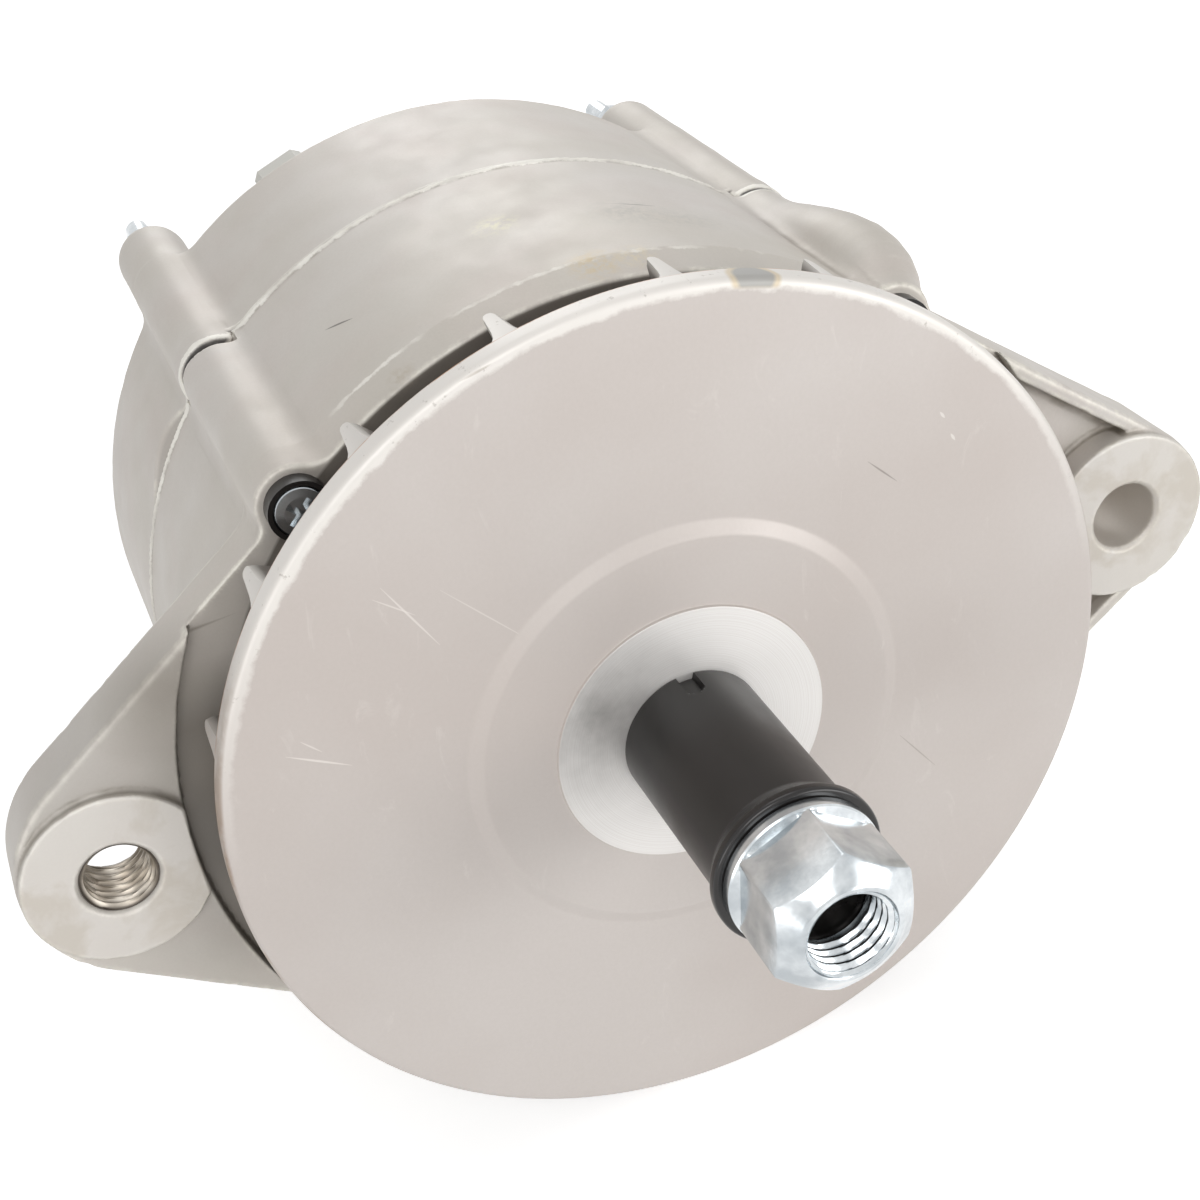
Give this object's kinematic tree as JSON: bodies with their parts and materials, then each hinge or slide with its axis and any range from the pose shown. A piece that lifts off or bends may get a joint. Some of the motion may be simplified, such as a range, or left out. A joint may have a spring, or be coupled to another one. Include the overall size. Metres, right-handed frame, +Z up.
{
  "type": "alternator",
  "caption": "Round heavy-duty alternator with two mounting ears, a disc cooling fan, a spacer sleeve and a flanged nut on its shaft; the rotor turns.",
  "frame": {"origin": "on the shaft axis, at the front face of the fan hub, where a pulley seats", "axes": "+Y along the shaft from the fan towards the rear cover, X through the two mounting ears with the plain-bored ear at +X, +Z up"},
  "size_m": [0.277, 0.2742, 0.196],
  "materials": {
    "cast_aluminium": "as-cast, matt, with worn bright edges",
    "fan_aluminium": "as-cast, matt, hub face turned bright",
    "plate_aluminium": "satin",
    "black_steel": "blackened, satin",
    "bright_zinc": "bright zinc plate",
    "turned_steel": "turned",
    "bearing_steel": "ground and polished",
    "cage_steel": "pressed",
    "seal_rubber": "matt",
    "pole_iron": "forged, lightly oiled",
    "lamination_iron": "stacked laminations",
    "enamelled_copper": "varnished copper",
    "copper": "bare copper",
    "black_plastic": "moulded",
    "pale_plastic": "moulded, off-white",
    "carbon": "pressed carbon",
    "spring_steel": "drawn wire",
    "diode_case": "knurled case",
    "pressed_cover": "pressed sheet, satin grey paint"
  },
  "bodies": {
    "housing": {"front_housing": "cast_aluminium", "rear_housing": "cast_aluminium", "negative_plate": "plate_aluminium", "positive_plate": "plate_aluminium", "regulator": "plate_aluminium", "bolt_rings": "black_steel", "through_bolts": "bright_zinc", "bolt_nuts": "bright_zinc", "bolt_washers": "bright_zinc", "retainer_screws": "bright_zinc", "plate_screws": "bright_zinc", "cover_screws": "bright_zinc", "output_nut": "bright_zinc", "bearing_retainer": "turned_steel", "front_bearing_outer": "bearing_steel", "rear_bearing_outer": "bearing_steel", "front_bearing_seals": "seal_rubber", "rear_bearing_seals": "seal_rubber", "stator_core": "lamination_iron", "stator_winding": "enamelled_copper", "output_stud": "copper", "signal_pins": "copper", "brush_holder": "black_plastic", "plate_standoffs": "black_plastic", "output_insulator": "black_plastic", "signal_block": "pale_plastic", "brushes": "carbon", "brush_springs": "spring_steel", "negative_diodes": "diode_case", "positive_diodes": "diode_case", "rear_cover": "pressed_cover"},
    "rotor": {"shaft": "turned_steel", "shaft_key": "turned_steel", "fan": "fan_aluminium", "spacer_sleeve": "black_steel", "seat_washer": "black_steel", "shaft_nut": "bright_zinc", "spacer_ring": "turned_steel", "front_bearing_inner": "bearing_steel", "rear_bearing_inner": "bearing_steel", "claw_pole_front": "pole_iron", "claw_pole_rear": "pole_iron", "field_core": "pole_iron", "field_coil": "enamelled_copper", "slip_core": "black_plastic", "slip_rings": "copper"},
    "front_cage": {"front_bearing_balls": "bearing_steel", "front_bearing_cage": "cage_steel"},
    "rear_cage": {"rear_bearing_balls": "bearing_steel", "rear_bearing_cage": "cage_steel"}
  },
  "joints": [
    {"name": "rotor_spin", "type": "hinge", "parent": "housing", "child": "rotor", "pos_m": [0, 0, 0], "axis": [0, 1, 0], "continuous": true},
    {"name": "front_cage_spin", "type": "hinge", "parent": "housing", "child": "front_cage", "pos_m": [0, 0.0393, 0], "axis": [0, 1, 0], "continuous": true},
    {"name": "rear_cage_spin", "type": "hinge", "parent": "housing", "child": "rear_cage", "pos_m": [0, 0.1434, 0], "axis": [0, 1, 0], "continuous": true}
  ],
  "couplings": [
    {"joint": "front_cage_spin", "follows": "rotor_spin", "ratio": 0.383},
    {"joint": "rear_cage_spin", "follows": "rotor_spin", "ratio": 0.375}
  ]
}
